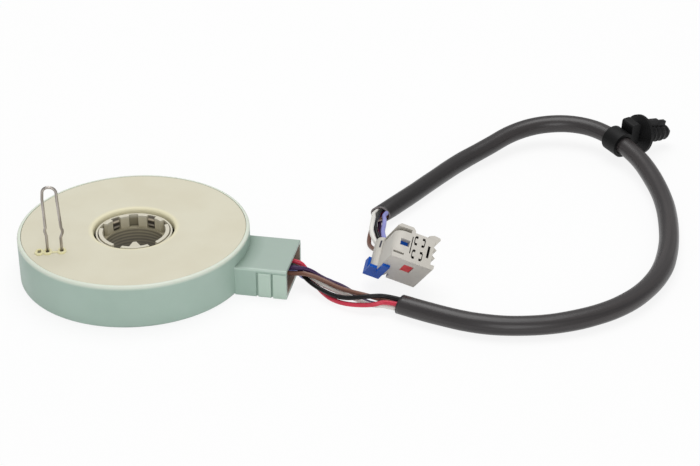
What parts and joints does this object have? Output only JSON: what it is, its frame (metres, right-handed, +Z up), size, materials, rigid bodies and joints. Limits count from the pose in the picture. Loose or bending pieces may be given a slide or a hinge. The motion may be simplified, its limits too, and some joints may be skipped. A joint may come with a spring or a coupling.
{
  "type": "steering angle sensor",
  "caption": "Flat disc sensor for a steering column: castellated shaft hub, wire locking pin, and a clipped, sleeved wire harness that ends in a keyed plug.",
  "frame": {"origin": "on the steering shaft's axis, in the plane of the disc's underside", "axes": "+Z up out of the cover, along the shaft; +X from the shaft along the wire box towards the leads"},
  "size_m": [0.2258, 0.174, 0.0403],
  "materials": {
    "mint_plastic": "satin",
    "cream_plastic": "satin",
    "grey_plastic": "satin",
    "board": "matte",
    "dark_plastic": "matte",
    "tinned_metal": "satin",
    "seal": "matte",
    "spring_steel": "satin",
    "contact_metal": "satin",
    "sleeve_plastic": "satin",
    "clip_plastic": "satin",
    "plug_plastic": "satin",
    "blue_plastic": "satin",
    "red_plastic": "satin",
    "insulation_brown": "satin",
    "insulation_violet": "satin",
    "insulation_blue": "satin",
    "insulation_black": "satin",
    "insulation_red": "satin",
    "insulation_white": "satin"
  },
  "bodies": {
    "sensor": {"housing": "mint_plastic", "wire_box": "mint_plastic", "cover": "cream_plastic", "track_board": "board", "terminal_strip": "dark_plastic", "terminal_pins": "tinned_metal", "wire_seal": "seal", "cable_sleeve": "sleeve_plastic", "harness_clip": "clip_plastic", "plug_housing": "plug_plastic", "plug_wire_cover": "plug_plastic", "plug_position_lock": "blue_plastic", "plug_terminal_lock": "blue_plastic", "plug_coding_key": "red_plastic", "lead_brown": "insulation_brown", "terminal_brown": "contact_metal", "lead_violet": "insulation_violet", "terminal_violet": "contact_metal", "lead_blue": "insulation_blue", "terminal_blue": "contact_metal", "lead_black": "insulation_black", "terminal_black": "contact_metal", "lead_red": "insulation_red", "terminal_red": "contact_metal", "lead_white": "insulation_white", "terminal_white": "contact_metal"},
    "hub": {"hub": "grey_plastic", "outer_sleeve": "grey_plastic", "rotor_disc": "grey_plastic", "hub_spring_1": "spring_steel", "hub_spring_2": "spring_steel", "wiper_1": "contact_metal", "wiper_2": "contact_metal", "wiper_3": "contact_metal"},
    "lock_pin": {"lock_pin": "spring_steel"}
  },
  "joints": [
    {"name": "hub_spin", "type": "hinge", "parent": "sensor", "child": "hub", "pos_m": [0, 0, 0], "axis": [0, 0, 1], "continuous": true},
    {"name": "lock_pin_pull", "type": "slide", "parent": "sensor", "child": "lock_pin", "axis": [0, 0, 1], "range_m": [0, 0.008]}
  ]
}
